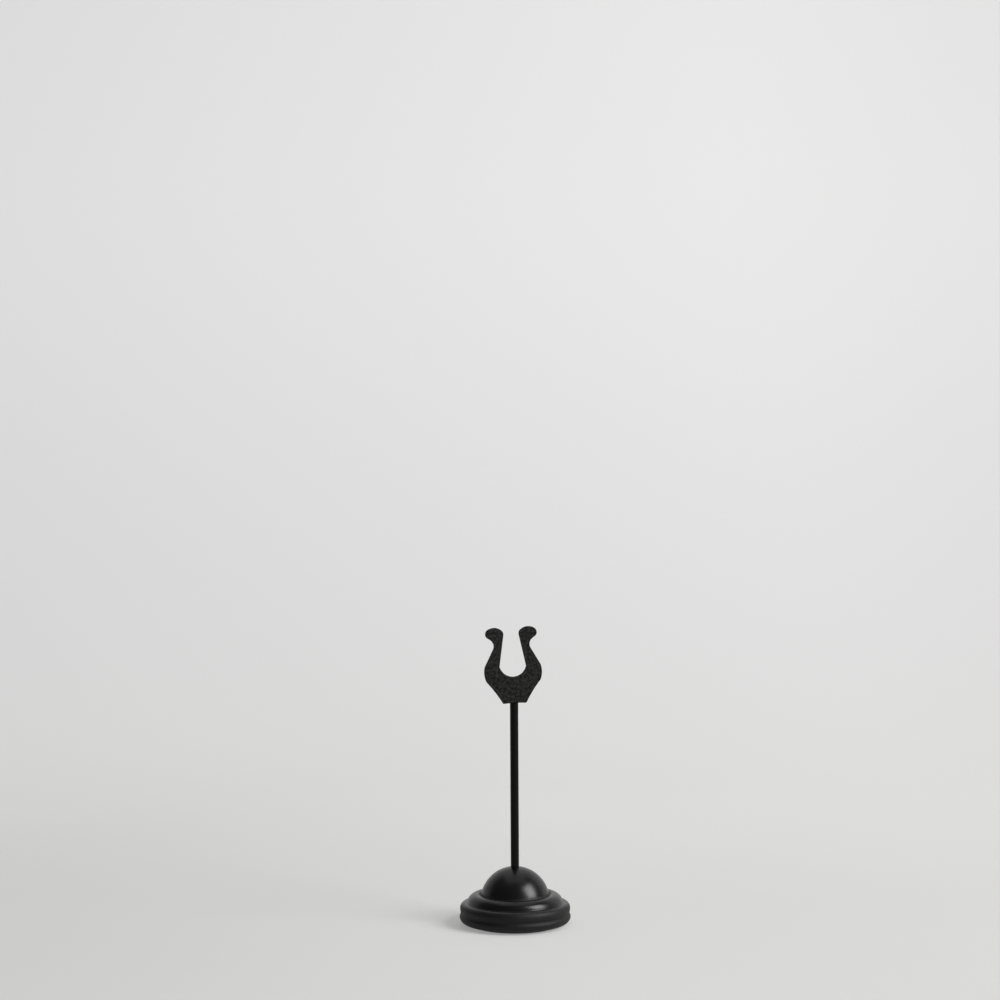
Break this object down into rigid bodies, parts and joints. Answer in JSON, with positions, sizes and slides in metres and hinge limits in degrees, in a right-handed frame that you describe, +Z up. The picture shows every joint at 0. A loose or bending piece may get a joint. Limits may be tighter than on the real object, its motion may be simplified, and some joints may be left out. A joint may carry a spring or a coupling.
{
  "type": "table number stand",
  "caption": "Free-standing card holder: a round stepped base with a domed top, a thin upright rod and a flat lyre-shaped clip whose sprung arms hold a card.",
  "frame": {"origin": "middle of the base, on the table", "axes": "+Z up along the rod; the flat clip lies in the XZ plane and its front face looks towards -Y"},
  "size_m": [0.076, 0.076, 0.2037],
  "materials": {
    "base_shell": "satin black enamel",
    "ballast": "raw casting",
    "foot_pad": "matt, fine grain",
    "rod": "satin black enamel",
    "washer": "zinc plated",
    "nut": "zinc plated",
    "clip_front": "fine textured black powder coat",
    "clip_rear": "fine textured black powder coat"
  },
  "bodies": {
    "root": {"base_shell": "base_shell", "ballast": "ballast", "foot_pad": "foot_pad", "rod": "rod", "washer": "washer", "nut": "nut", "clip_front": "clip_front", "clip_rear": "clip_rear"}
  },
  "joints": []
}
